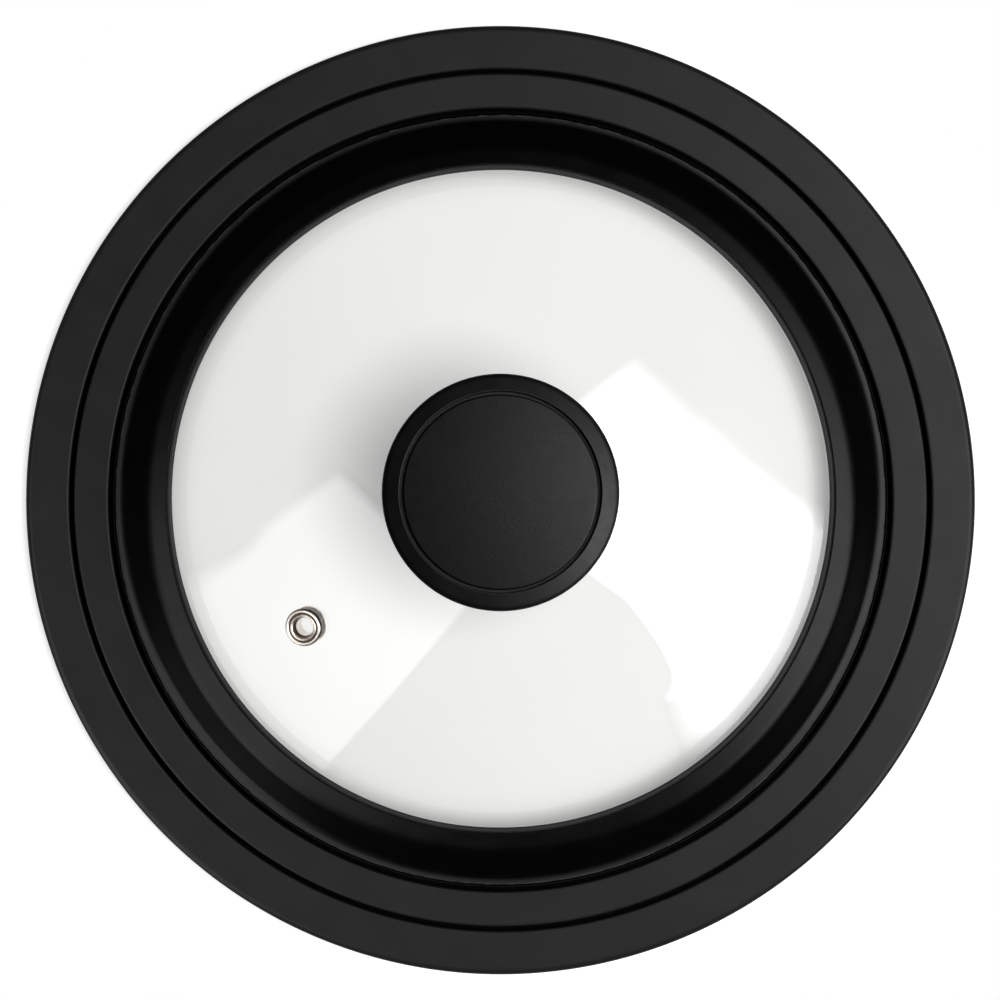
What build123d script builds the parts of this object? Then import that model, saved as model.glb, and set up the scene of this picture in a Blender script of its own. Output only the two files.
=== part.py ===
from build123d import *

import os
from math import asin, cos, radians, sin, sqrt, tan

# Sizes are in millimetres and degrees. The lid lies on the ribs of its rim, with its axis on Z.

# Tempered glass: a dome with a narrow flat flange around it
glass_radius = 76.6
glass_thickness = 4.0
glass_edge_round = 1.0
crown_radius = 164.75
flange_show = 1.1
flange_round = 2.0

# Silicone rim: the collar that rises from the brim and grips the edge of the glass
glass_edge_clearance = 0.2
glass_rise = 2.9
upper_lip_grip = 3.6
upper_lip_thickness = 2.4
upper_lip_round = 1.2
lower_lip_setback = 1.0
lower_lip_thickness = 2.0
lower_lip_round = 0.8
throat_round = 1.0
collar_wall = 1.9
collar_slope_angle = 14.0
collar_shoulder_round = 4.0
collar_spread = 5.6
collar_foot_round = 2.8

# Silicone rim: the flat brim, and the ribs under it that centre the lid in pans of three sizes
brim_thickness = 3.0
brim_apron = 2.0
groove_width = 1.4
groove_spacing = 7.4
groove_floor = 2.0
groove_edge_round = 0.3
groove_floor_round = 0.45
rib_wall = 1.3
rib_depth = 5.0
rib_round = 0.5
small_pan_rib_reach = 2.4
small_pan_rib_width = 3.0
brim_flange = 9.5
brim_edge_round = 1.2

# Knob: the hollow moulded body, the cap let into its top and the threaded insert in its boss
cap_radius = 20.5
cap_clearance = 0.1
cap_thickness = 3.2
cap_crown = 0.8
cap_edge_round = 0.5
cap_rim_width = 4.0
cap_skin = 2.0
cap_ledge_width = 2.5
cap_groove_width = 1.3
cap_groove_depth = 1.5
cap_groove_round = 0.4
knob_height = 29.0
knob_bevel_width = 3.7
knob_bevel_angle = 20.0
knob_side_height = 6.6
knob_edge_round = 1.5
knob_under_round = 2.0
knob_base_height = 2.0
knob_base_round = 1.0
knob_flare_width = 5.0
knob_flare_height = 6.0
knob_neck_length = 6.0
knob_neck_round = 5.0
knob_neck_hollow = 2.1
knob_wall = 2.7
knob_floor = 4.7
knob_boss_wall = 2.7
knob_boss_roof = 3.0
insert_radius = 4.5
insert_length = 12.0
insert_waist_depth = 0.6
insert_waist_length = 4.0

# Knob fixing: the screw from below with its washer, and silicone on both sides of the glass
screw_diameter = 5.0
screw_engagement = 8.0
screw_tip_chamfer = 0.4
screw_head_radius = 4.75
screw_head_height = 3.7
screw_head_round = 2.2
screw_running_clearance = 0.05
screw_free_clearance = 0.3
cross_length = 5.0
cross_width = 1.1
cross_depth = 1.9
washer_radius = 7.5
washer_thickness = 1.2
washer_edge_round = 0.2
screw_gasket_radius = 9.0
screw_gasket_thickness = 1.8
screw_gasket_wall = 1.1
screw_gasket_collar = 3.0
screw_gasket_clearance = 0.1
knob_gasket_inset = 1.5
knob_gasket_thickness = 1.0

# Steam vent: a tubular rivet through the glass, with a dished washer above and a gasket below
vent_inset = 19.9
vent_direction = 213.5
vent_bore_radius = 2.2
vent_tube_wall = 0.45
vent_curl_width = 0.95
vent_curl_height = 0.85
vent_curl_round = 0.4
vent_dish_width = 0.2
vent_washer_rim_width = 0.85
vent_washer_rim_height = 0.8
vent_washer_rim_round = 0.38
vent_washer_foot_round = 0.09
vent_washer_skin = 0.35
vent_flange_thickness = 0.45
vent_flange_round = 0.15
vent_gasket_wall = 0.4
vent_gasket_thickness = 0.4
vent_gasket_inset = 0.3
vent_clearance = 0.04

# The most of an edge that the rounds at its ends take up, and how far a cut runs past a face
round_share = 0.95
cut_margin = 4.0

# Heights and radii of the rim and the glass
brim_bottom = rib_depth
brim_top = brim_bottom + brim_thickness
flange_bottom = brim_top + glass_rise
flange_top = flange_bottom + glass_thickness
slot_radius = glass_radius + glass_edge_clearance
upper_lip_radius = glass_radius - upper_lip_grip
lower_lip_radius = upper_lip_radius + lower_lip_setback
collar_shoulder_radius = slot_radius + collar_wall
collar_foot_radius = collar_shoulder_radius + collar_spread
middle_groove_radius = collar_foot_radius + brim_apron
large_groove_radius = middle_groove_radius + groove_width + groove_spacing
brim_radius = large_groove_radius + groove_width + brim_flange
small_pan_rib_radius = glass_radius + small_pan_rib_reach
throat_radius = small_pan_rib_radius - small_pan_rib_width
dome_radius = upper_lip_radius - flange_show
inner_crown_radius = crown_radius - glass_thickness
dome_centre = flange_top - sqrt(crown_radius**2 - dome_radius**2)
dome_top = dome_centre + crown_radius
dome_under = dome_top - glass_thickness

# Heights and radii of the knob and its fixing. The knob's own heights count from its base.
screw_radius = screw_diameter / 2
screw_free_radius = screw_radius + screw_free_clearance
insert_bore_radius = screw_radius + screw_running_clearance
screw_collar_radius = screw_free_radius + screw_gasket_wall
screw_hole_radius = screw_collar_radius + screw_gasket_clearance
washer_top = dome_under - screw_gasket_thickness
screw_seat = washer_top - washer_thickness
knob_base = dome_top + knob_gasket_thickness
cap_pocket_radius = cap_radius + cap_clearance
cap_groove_radius = cap_radius + cap_groove_width
cap_edge_top = knob_height - cap_crown
cap_seat = cap_edge_top - cap_thickness
knob_radius = cap_groove_radius + knob_bevel_width
knob_side_top = knob_height - knob_bevel_width * tan(radians(knob_bevel_angle))
knob_boss_radius = insert_radius + knob_boss_wall
knob_hollow_radius = knob_boss_radius + knob_neck_hollow
knob_neck_radius = knob_hollow_radius + knob_wall
knob_base_radius = knob_neck_radius + knob_flare_width

# Radii and heights of the vent. Its heights count along its own axis from the top of the glass.
vent_offset = dome_radius - vent_inset
vent_tube_radius = vent_bore_radius + vent_tube_wall
vent_liner_radius = vent_tube_radius + vent_clearance
vent_hole_radius = vent_liner_radius + vent_gasket_wall + vent_clearance
vent_curl_radius = vent_bore_radius + vent_curl_width
vent_rim_radius = vent_curl_radius + vent_dish_width
vent_flange_radius = vent_rim_radius + vent_washer_rim_width
vent_gasket_radius = vent_flange_radius - vent_gasket_inset
vent_under_sag = inner_crown_radius - sqrt(inner_crown_radius**2 - vent_gasket_radius**2)
vent_gasket_top = -glass_thickness - vent_under_sag
vent_gasket_bottom = vent_gasket_top - vent_gasket_thickness


def fitted_rounds(points, rounds):
    """The rounds of a closed outline, made smaller where an edge is too short for both of its ends."""
    edges = [after - before for before, after in zip(points, points[1:] + points[:1])]
    turns = [before.get_angle(after) for before, after in zip(edges[-1:] + edges[:-1], edges)]
    tangents = [corner_round * tan(radians(turn / 2)) for corner_round, turn in zip(rounds, turns)]
    shares = []
    for edge, start, end in zip(edges, tangents, tangents[1:] + tangents[:1]):
        room = round_share * edge.length
        shares.append(room / max(room, start + end))
    return [
        corner_round * min(before, after)
        for corner_round, before, after in zip(rounds, shares[-1:] + shares[:-1], shares)
    ]


def turned(corners):
    """A solid turned about Z. Each corner is its radius, its height and its round, 0 for a sharp one."""
    points = [Vector(radius, height) for radius, height, _ in corners]
    rounds = fitted_rounds(points, [corner_round for _, _, corner_round in corners])
    outline = make_face(FilletPolyline(*points, radius=rounds, close=True))
    return revolve(Plane.XZ * outline, Axis.Z)


def dome_height(sphere_radius, radius):
    """Height, at a distance from the axis, of a sphere about the dome's centre."""
    return dome_centre + sqrt(sphere_radius**2 - radius**2)


def dome_arc(sphere_radius, start, end):
    """The arc of a sphere about the dome's centre, in section, between two distances from the axis."""
    stations = (start, (start + end) / 2, end)
    return ThreePointArc(*[(radius, dome_height(sphere_radius, radius)) for radius in stations])


def rib_with_groove(groove_inner):
    """Groove corners from outside in, then rib corners from inside out, of one hollow rib of the rim."""
    groove_outer = groove_inner + groove_width
    rib_inner = groove_inner - rib_wall
    rib_outer = groove_outer + rib_wall
    groove = [
        (groove_outer, brim_top, groove_edge_round),
        (groove_outer, groove_floor, groove_floor_round),
        (groove_inner, groove_floor, groove_floor_round),
        (groove_inner, brim_top, groove_edge_round),
    ]
    rib = [
        (rib_inner, brim_bottom, 0),
        (rib_inner, 0, rib_round),
        (rib_outer, 0, rib_round),
        (rib_outer, brim_bottom, 0),
    ]
    return groove, rib


def silicone_rim():
    """One moulding: brim, two grooved ribs, the plain inner rib and the collar with the glass's slot."""
    large_groove, large_rib = rib_with_groove(large_groove_radius)
    middle_groove, middle_rib = rib_with_groove(middle_groove_radius)
    lip_top = flange_top + upper_lip_thickness
    lip_width = collar_shoulder_radius - upper_lip_radius
    shoulder_height = lip_top - lip_width * tan(radians(collar_slope_angle))
    throat_top = flange_bottom - lower_lip_thickness
    collar = [
        (collar_foot_radius, brim_top, collar_foot_round),
        (collar_shoulder_radius, shoulder_height, collar_shoulder_round),
        (upper_lip_radius, lip_top, upper_lip_round),
        (upper_lip_radius, flange_top, 0),
        (slot_radius, flange_top, 0),
        (slot_radius, flange_bottom, 0),
        (lower_lip_radius, flange_bottom, 0),
        (lower_lip_radius, throat_top, lower_lip_round),
        (throat_radius, throat_top, throat_round),
    ]
    small_rib = [
        (throat_radius, 0, rib_round),
        (small_pan_rib_radius, 0, rib_round),
        (small_pan_rib_radius, brim_bottom, 0),
    ]
    edge = [
        (brim_radius, brim_bottom, brim_edge_round),
        (brim_radius, brim_top, brim_edge_round),
    ]
    return turned(edge + large_groove + middle_groove + collar + small_rib + middle_rib + large_rib)


def on_vent_axis(piece):
    """Moves a piece made about Z to the vent's place on the dome, its height 0 on the top of the glass."""
    lean = asin(vent_offset / crown_radius)
    turn = radians(vent_direction)
    outward = Vector(sin(lean) * cos(turn), sin(lean) * sin(turn), cos(lean))
    seat = Vector(0, 0, dome_centre) + outward * crown_radius
    return Plane(origin=seat, z_dir=outward).location * piece


def glass_disc():
    """The dome and its flange in one thickness, with its screw hole and a vent hole square to the dome."""
    inner_dome_radius = sqrt(inner_crown_radius**2 - (flange_bottom - dome_centre) ** 2)
    top = dome_arc(crown_radius, screw_hole_radius, dome_radius)
    under = dome_arc(inner_crown_radius, inner_dome_radius, screw_hole_radius)
    edge = Polyline(top @ 1, (glass_radius, flange_top), (glass_radius, flange_bottom), under @ 0)
    section = make_face([top, edge, under, Line(under @ 1, top @ 0)])
    top_bend = section.vertices().sort_by_distance(top @ 1)[0]
    under_bend = section.vertices().sort_by_distance(under @ 0)[0]
    section = fillet([top_bend, under_bend], flange_round)
    section = fillet(section.vertices().group_by(Axis.X)[-1], glass_edge_round)
    dome = revolve(Plane.XZ * section, Axis.Z)
    vent_cut = Cylinder(vent_hole_radius, glass_thickness + 2 * cut_margin)
    return dome - on_vent_axis(Pos(0, 0, -glass_thickness / 2) * vent_cut)


def knob_insert():
    """A turned brass bush with a waist that the knob's plastic fills, and a bore for the screw's thread."""
    waist_radius = insert_radius - insert_waist_depth
    waist_bottom = (insert_length - insert_waist_length) / 2
    waist_top = waist_bottom + insert_waist_length
    bush = turned(
        [
            (insert_bore_radius, 0, 0),
            (insert_radius, 0, 0),
            (insert_radius, waist_bottom - insert_waist_depth, 0),
            (waist_radius, waist_bottom, 0),
            (waist_radius, waist_top, 0),
            (insert_radius, waist_top + insert_waist_depth, 0),
            (insert_radius, insert_length, 0),
            (insert_bore_radius, insert_length, 0),
        ]
    )
    return Pos(0, 0, knob_base) * bush


def knob_body(insert):
    """A mushroom with a hollow head and neck, open at the top for the cap, moulded around the insert."""
    neck_bottom = knob_base_height + knob_flare_height
    neck_top = neck_bottom + knob_neck_length
    side_bottom = knob_side_top - knob_side_height
    boss_top = insert_length + knob_boss_roof
    groove_bottom = knob_height - cap_groove_depth
    # The well in the head keeps the wall's thickness above the slope of the head's underside
    under_rise = (side_bottom - neck_top) / (knob_radius - knob_neck_radius)
    under_wall = knob_wall * sqrt(1 + under_rise**2)
    well_radius = cap_pocket_radius - cap_ledge_width
    well_edge = neck_top + (well_radius - knob_neck_radius) * under_rise + under_wall
    well_bottom = neck_top + (knob_hollow_radius - knob_neck_radius) * under_rise + under_wall
    body = turned(
        [
            (0, 0, 0),
            (knob_base_radius, 0, knob_base_round),
            (knob_base_radius, knob_base_height, knob_base_round),
            (knob_neck_radius, neck_bottom, knob_neck_round),
            (knob_neck_radius, neck_top, knob_neck_round),
            (knob_radius, side_bottom, knob_under_round),
            (knob_radius, knob_side_top, knob_edge_round),
            (cap_groove_radius, knob_height, cap_groove_round),
            (cap_groove_radius, groove_bottom, 0),
            (cap_pocket_radius, groove_bottom, 0),
            (cap_pocket_radius, cap_seat, 0),
            (well_radius, cap_seat, 0),
            (well_radius, well_edge, 0),
            (knob_hollow_radius, well_bottom, 0),
            (knob_hollow_radius, knob_floor, 0),
            (knob_boss_radius, knob_floor, 0),
            (knob_boss_radius, boss_top, 0),
            (0, boss_top, 0),
        ]
    )
    shaft = Pos(0, 0, insert_length / 2) * Cylinder(insert_bore_radius, insert_length)
    return Pos(0, 0, knob_base) * (body - shaft) - insert


def knob_cap():
    """A slightly crowned disc with a downturned rim that stands on the ledge in the knob's head."""
    skin_under = cap_edge_top - cap_skin
    rim_radius = cap_radius - cap_rim_width
    crown_edge = (cap_radius, cap_edge_top)
    crown = ThreePointArc((-cap_radius, cap_edge_top), (0, knob_height), crown_edge).trim(0.5, 1)
    below = Polyline(
        crown_edge,
        (cap_radius, cap_seat),
        (rim_radius, cap_seat),
        (rim_radius, skin_under),
        (0, skin_under),
        crown @ 0,
    )
    section = make_face([crown, below])
    corner = section.vertices().sort_by_distance(crown_edge)[0]
    section = fillet(corner, cap_edge_round)
    return Pos(0, 0, knob_base) * revolve(Plane.XZ * section, Axis.Z)


def knob_gasket():
    """A silicone pad, flat on top for the knob and hollowed below to the dome."""
    pad_radius = knob_base_radius - knob_gasket_inset
    under = dome_arc(crown_radius, pad_radius, screw_free_radius)
    top = Polyline(under @ 1, (screw_free_radius, knob_base), (pad_radius, knob_base), under @ 0)
    return revolve(Plane.XZ * make_face([under, top]), Axis.Z)


def screw_gasket():
    """A silicone washer under the dome, with a collar that keeps the screw off the edge of the hole."""
    collar_top = dome_under + screw_gasket_collar
    seat = dome_arc(inner_crown_radius, screw_collar_radius, screw_gasket_radius)
    outline = Polyline(
        seat @ 1,
        (screw_gasket_radius, washer_top),
        (screw_free_radius, washer_top),
        (screw_free_radius, collar_top),
        (screw_collar_radius, collar_top),
        seat @ 0,
    )
    return revolve(Plane.XZ * make_face([seat, outline]), Axis.Z)


def screw_washer():
    """A flat steel washer that spreads the screw's pull."""
    return turned(
        [
            (screw_free_radius, screw_seat, washer_edge_round),
            (washer_radius, screw_seat, washer_edge_round),
            (washer_radius, washer_top, washer_edge_round),
            (screw_free_radius, washer_top, washer_edge_round),
        ]
    )


def knob_screw():
    """A pan-head machine screw, head down, with a cross recess. Its thread is a plain cylinder."""
    tip = knob_base + screw_engagement
    head_bottom = screw_seat - screw_head_height
    blank = turned(
        [
            (0, tip, 0),
            (0, head_bottom, 0),
            (screw_head_radius, head_bottom, screw_head_round),
            (screw_head_radius, screw_seat, 0),
            (screw_radius, screw_seat, 0),
            (screw_radius, tip - screw_tip_chamfer, 0),
            (screw_radius - screw_tip_chamfer, tip, 0),
        ]
    )
    cross = Box(cross_length, cross_width, cross_depth) + Box(cross_width, cross_length, cross_depth)
    return blank - Pos(0, 0, head_bottom + cross_depth / 2) * cross


def vent_rivet():
    """A thin tube with a flat flange below the glass and its upper end curled over the washer."""
    flange_under = vent_gasket_bottom - vent_flange_thickness
    return on_vent_axis(
        turned(
            [
                (vent_bore_radius, flange_under, vent_flange_round),
                (vent_flange_radius, flange_under, vent_flange_round),
                (vent_flange_radius, vent_gasket_bottom, vent_flange_round),
                (vent_tube_radius, vent_gasket_bottom, 0),
                (vent_tube_radius, vent_washer_skin, 0),
                (vent_curl_radius, vent_washer_skin, 0),
                (vent_curl_radius, vent_curl_height, vent_curl_round),
                (vent_bore_radius, vent_curl_height, vent_curl_round),
            ]
        )
    )


def vent_washer():
    """A dished steel washer on the dome: a thin skin under the rivet's curl and a raised round rim."""
    return on_vent_axis(
        turned(
            [
                (vent_liner_radius, 0, 0),
                (vent_flange_radius, 0, vent_washer_foot_round),
                (vent_flange_radius, vent_washer_rim_height, vent_washer_rim_round),
                (vent_rim_radius, vent_washer_rim_height, vent_washer_rim_round),
                (vent_rim_radius, vent_washer_skin, 0),
                (vent_liner_radius, vent_washer_skin, 0),
            ]
        )
    )


def vent_gasket():
    """A silicone bush: a liner in the hole of the glass and a flange between the glass and the rivet."""
    liner_outer = vent_liner_radius + vent_gasket_wall
    return on_vent_axis(
        turned(
            [
                (vent_liner_radius, vent_gasket_bottom, 0),
                (vent_gasket_radius, vent_gasket_bottom, 0),
                (vent_gasket_radius, vent_gasket_top, 0),
                (liner_outer, vent_gasket_top, 0),
                (liner_outer, -vent_gasket_thickness, 0),
                (vent_liner_radius, -vent_gasket_thickness, 0),
            ]
        )
    )


brass_insert = knob_insert()
pieces = {
    "silicone_rim": silicone_rim(),
    "glass_disc": glass_disc(),
    "knob_body": knob_body(brass_insert),
    "knob_cap": knob_cap(),
    "knob_insert": brass_insert,
    "knob_gasket": knob_gasket(),
    "screw_gasket": screw_gasket(),
    "screw_washer": screw_washer(),
    "knob_screw": knob_screw(),
    "vent_rivet": vent_rivet(),
    "vent_washer": vent_washer(),
    "vent_gasket": vent_gasket(),
}

os.makedirs("parts", exist_ok=True)
for name, piece in pieces.items():
    export_step(piece, f"parts/{name}.step")
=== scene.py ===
from math import asin, cos, pi, radians, sin, sqrt, tan

import bmesh
import bpy
import numpy as np
from mathutils import Matrix, Vector


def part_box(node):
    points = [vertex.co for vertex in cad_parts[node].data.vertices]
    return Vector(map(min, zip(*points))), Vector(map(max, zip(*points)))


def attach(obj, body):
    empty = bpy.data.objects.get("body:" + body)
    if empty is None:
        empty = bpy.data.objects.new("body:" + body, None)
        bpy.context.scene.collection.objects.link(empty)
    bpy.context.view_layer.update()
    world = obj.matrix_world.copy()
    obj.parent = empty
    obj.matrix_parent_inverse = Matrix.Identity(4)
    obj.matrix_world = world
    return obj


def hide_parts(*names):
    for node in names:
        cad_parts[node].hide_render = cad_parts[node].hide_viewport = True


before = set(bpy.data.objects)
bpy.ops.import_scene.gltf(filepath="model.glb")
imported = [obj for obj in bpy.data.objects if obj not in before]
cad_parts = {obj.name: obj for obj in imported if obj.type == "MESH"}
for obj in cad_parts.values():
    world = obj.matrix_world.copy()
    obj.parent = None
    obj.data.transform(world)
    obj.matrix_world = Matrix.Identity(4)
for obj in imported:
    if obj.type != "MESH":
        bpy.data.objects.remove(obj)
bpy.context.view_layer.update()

# Tempered glass
# A sheet of clear glass sagged over a mould into a dome with a narrow flat flange, its edge ground round.
# It is drilled for the knob's screw and for the steam vent, and then tempered. Sizes here are in millimetres.
MM = 0.001
glass_low, glass_high = [np.array(corner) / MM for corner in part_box("glass_disc")]
glass_radius = glass_high[0]
glass_thickness = 4.0
crown_radius = 164.75
inner_crown_radius = crown_radius - glass_thickness
dome_radius = 71.9
bend_round = 1.2
glass_edge_round = 1.0
screw_hole_radius = 4.0
screw_hole_round = 0.3
dome_centre = glass_low[2] + glass_thickness - sqrt(crown_radius**2 - dome_radius**2)
flange_drop = 0.7
flange_bottom = glass_low[2] - flange_drop
flange_top = flange_bottom + glass_thickness
vent_offset = 52.0
vent_direction = radians(213.5)
vent_hole_radius = 3.13
vent_hole_round = 0.25
# Painted shade: between these distances from the axis the glass's colour is painted grey, down to this tint
# at the edge.
edge_shade_start = 64.0
edge_shade_end = 73.5
edge_shade_curve = 2.65
edge_shade_tint = (0.63, 0.635, 0.625)
glass_segments = 360
dome_rows = 66
bend_steps = 9
edge_steps = 7
hole_steps = 5
vent_block_reach = 8.0
vent_block_rings = 12


def arc(centre, radius, start, end, steps):
    """Points of a circle in (radius, height): centre + radius (cos a, sin a), with a from start to end in
    degrees."""
    angle = np.radians(np.linspace(start, end, steps))
    return np.array(centre) + radius * np.stack((np.cos(angle), np.sin(angle)), axis=-1)


def turned_grid(outline, segments, start=0.0):
    """Outline carried round Z: row i, column j is (r_i cos a_j, r_i sin a_j, z_i)."""
    angle = start + np.arange(segments) * 2 * pi / segments
    radius = outline[:, :1]
    height = np.broadcast_to(outline[:, 1:], (len(outline), segments))
    return np.stack((radius * np.cos(angle), radius * np.sin(angle), height), axis=-1)


def quads(lower, upper):
    """Quads between rings of points and the rings of as many points beside them."""
    return np.stack((lower, np.roll(lower, -1, axis=-1), np.roll(upper, -1, axis=-1), upper), axis=-1)


def ring_faces(rows, segments, closed):
    """Quads between neighbouring rows of a grid whose columns close into rings. Where it is closed, the last
    row joins the first."""
    index = np.arange(rows * segments).reshape(rows, segments)
    return quads(index, np.roll(index, -1, axis=0)) if closed else quads(index[:-1], index[1:])


def new_piece(name, points, faces, material):
    """A smooth closed mesh from points in millimetres: poles and seams merged, faces turned outwards."""
    mesh = bpy.data.meshes.new(name)
    mesh.from_pydata((points.reshape(-1, 3) * MM).tolist(), [], faces.reshape(-1, 4).tolist())
    work = bmesh.new()
    work.from_mesh(mesh)
    bmesh.ops.remove_doubles(work, verts=work.verts, dist=1e-7)
    bmesh.ops.delete(work, geom=[v for v in work.verts if not v.link_faces], context="VERTS")
    bmesh.ops.recalc_face_normals(work, faces=work.faces)
    work.to_mesh(mesh)
    work.free()
    mesh.shade_smooth()
    mesh.materials.append(material)
    piece = bpy.data.objects.new(name, mesh)
    bpy.context.scene.collection.objects.link(piece)
    return piece


def vent_frame():
    """Origin where the vent's axis meets the dome, and three unit vectors: along the slope, across it and
    outward."""
    lean = asin(vent_offset / crown_radius)
    outward = np.array((sin(lean) * cos(vent_direction), sin(lean) * sin(vent_direction), cos(lean)))
    across = np.array((-sin(vent_direction), cos(vent_direction), 0.0))
    along = np.cross(across, outward)
    seat = np.array((0.0, 0.0, dome_centre)) + crown_radius * outward
    return seat, np.stack((along, across, outward))


def on_vent_axis(points):
    """Points made about Z, moved to the vent: seat + x along + y across + z outward."""
    seat, axes = vent_frame()
    return seat + points @ axes


def flange_bend(sphere_radius, flange_height):
    """Centre in (radius, height) of the arc that is tangent to a dome and to a flat of the flange, and the
    polar angle at which it leaves the dome."""
    reach = sphere_radius + bend_round
    height = flange_height + bend_round
    radius = sqrt(reach**2 - (height - dome_centre) ** 2)
    return (radius, height), asin(radius / reach)


def glass_outline():
    """Closed section: dome, bend, flange, ground edge, flange, bend and dome underneath, then the screw hole.
    Both domes share one set of polar angles, so their rows lie on the same lines from the dome's centre."""
    top_bend, top_lean = flange_bend(crown_radius, flange_top)
    under_bend, under_lean = flange_bend(inner_crown_radius, flange_bottom)
    lean = np.linspace(asin((screw_hole_radius + screw_hole_round) / crown_radius), top_lean, dome_rows)
    direction = np.stack((np.sin(lean), np.cos(lean)), axis=-1)
    centre = np.array((0.0, dome_centre))
    top = centre + crown_radius * direction
    under = (centre + inner_crown_radius * direction)[::-1]
    edge_in = glass_radius - glass_edge_round
    under_round = under[-1, 0] - screw_hole_radius
    return np.concatenate((
        top,
        arc(top_bend, bend_round, 270 - np.degrees(top_lean), 270, bend_steps)[1:],
        arc((edge_in, flange_top - glass_edge_round), glass_edge_round, 90, 0, edge_steps),
        arc((edge_in, flange_bottom + glass_edge_round), glass_edge_round, 0, -90, edge_steps),
        arc(under_bend, bend_round, 270, 270 - np.degrees(under_lean), bend_steps),
        under,
        arc((under[-1, 0], under[-1, 1] + under_round), under_round, 270, 180, hole_steps)[1:],
        arc((top[0, 0], top[0, 1] - screw_hole_round), screw_hole_round, 180, 90, hole_steps)[:-1],
    ))


def vent_hole(grid, faces, first_row, last_row, sphere_radius, first_index):
    """Opens a square block of the dome's grid and closes it onto the vent hole with rings of new points.
    In cylinder coordinates about the vent's axis, a ring keeps each boundary point's angle and brings its
    distance in to the hole, its height on the sphere; a quarter round then turns into the hole's wall."""
    segments = grid.shape[1]
    reach = int(np.ceil(np.degrees(vent_block_reach / vent_offset) * segments / 360))
    first, last = segments // 2 - reach, segments // 2 + reach
    index = np.arange(grid.shape[0] * segments).reshape(grid.shape[:2])
    loop = np.concatenate((
        index[first_row, first:last], index[first_row:last_row, last],
        index[last_row, last:first:-1], index[last_row:first_row:-1, first],
    ))
    seat, axes = vent_frame()
    local = (grid.reshape(-1, 3)[loop] - seat) @ axes.T
    distance = np.hypot(local[:, 0], local[:, 1])
    angle = np.arctan2(local[:, 1], local[:, 0])
    side = np.sign(sphere_radius - inner_crown_radius - glass_thickness / 2)
    mouth = vent_hole_radius + vent_hole_round
    share = np.linspace(1, 0, vent_block_rings)[1:, None]
    ring_distance = mouth + (distance - mouth) * share
    ring_height = np.sqrt(sphere_radius**2 - ring_distance**2) - crown_radius
    turn = np.radians(np.linspace(0, 90, hole_steps))[1:, None]
    round_shape = (hole_steps - 1, len(loop))
    round_distance = vent_hole_radius + vent_hole_round * (1 - np.sin(turn))
    round_height = ring_height[-1, 0] - side * vent_hole_round * (1 - np.cos(turn))
    rho = np.concatenate((ring_distance, np.broadcast_to(round_distance, round_shape)))
    height = np.concatenate((ring_height, np.broadcast_to(round_height, round_shape)))
    points = on_vent_axis(np.stack((rho * np.cos(angle), rho * np.sin(angle), height), axis=-1))
    rings = np.concatenate((loop[None], first_index + np.arange(rho.size).reshape(rho.shape)))
    patch = quads(rings[:-1], rings[1:])
    keep = np.ones(faces.shape[:2], bool)
    keep[first_row:last_row, first:last] = False
    return points.reshape(-1, 3), patch.reshape(-1, 4), keep, rings[-1]


def glass_mesh():
    """The turned section with a vent hole opened through both domes and a wall between its two mouths."""
    outline = glass_outline()
    grid = turned_grid(outline, glass_segments, vent_direction - pi)
    faces = ring_faces(len(outline), glass_segments, True)
    near = np.abs(outline[:dome_rows, 0] - vent_offset) < vent_block_reach
    first_row, last_row = np.flatnonzero(near)[[0, -1]]
    under_end = len(outline) - 2 * (hole_steps - 1) - 1
    count = grid.shape[0] * grid.shape[1]
    top_points, top_patch, top_keep, top_mouth = vent_hole(
        grid, faces, first_row, last_row, crown_radius, count)
    under_points, under_patch, under_keep, under_mouth = vent_hole(
        grid, faces, under_end - last_row, under_end - first_row, inner_crown_radius, count + len(top_points))
    # The lower loop starts on the dome's outer row, so it is turned round to run beside the upper loop
    under_mouth = np.roll(under_mouth[::-1], 1 - (last_row - first_row))
    wall = quads(top_mouth, under_mouth)
    points = np.concatenate((grid.reshape(-1, 3), top_points, under_points))
    return points, np.concatenate((faces[top_keep & under_keep], top_patch, under_patch, wall))


def new_material(name):
    """A node material with its tree and its Principled shader."""
    material = bpy.data.materials.new(name)
    material.use_nodes = True
    tree = material.node_tree
    return material, tree, tree.nodes["Principled BSDF"]


def feed(tree, node, inputs):
    """Gives inputs of a node their values, each of them plain or the output of another node."""
    for name, value in inputs.items():
        if isinstance(value, bpy.types.NodeSocket):
            tree.links.new(value, node.inputs[name])
        else:
            node.inputs[name].default_value = value


def new_node(tree, kind, inputs=None, **settings):
    """The outputs of a new shader node of a kind, with these inputs and settings."""
    node = tree.nodes.new("ShaderNode" + kind)
    for name, setting in settings.items():
        setattr(node, name, setting)
    feed(tree, node, inputs or {})
    return node.outputs


def object_place(tree, turn=(0, 0, 0), move=(0, 0, 0)):
    """Object coordinates, with the pattern's own place and turn in a Mapping node."""
    place = new_node(tree, "TexCoord")["Object"]
    return new_node(tree, "Mapping", {"Vector": place, "Location": move, "Rotation": turn})["Vector"]


def noise(tree, place, size_mm, detail):
    """Noise whose features are about size_mm across."""
    scale = 1 / (size_mm * MM)
    return new_node(tree, "TexNoise", {"Vector": place, "Scale": scale, "Detail": detail})["Fac"]


def spread(tree, value, low, high, start=0.3, end=0.7):
    """A value mapped from start..end to low..high."""
    ends = {"From Min": start, "From Max": end, "To Min": low, "To Max": high}
    return new_node(tree, "MapRange", {"Value": value, **ends})["Result"]


def calculated(tree, operation, *values):
    """The outcome of a Math node on values, each of them a number or a socket."""
    return new_node(tree, "Math", dict(enumerate(values)), operation=operation)["Value"]


def between(tree, value, *colours):
    """A colour that goes from the first of two to the second as the value goes from 0 to 1."""
    first, second = [(*colour, 1) if isinstance(colour, tuple) else colour for colour in colours]
    return new_node(tree, "Mix", {"Factor": value, "A": first, "B": second}, data_type="RGBA")["Result"]


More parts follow.
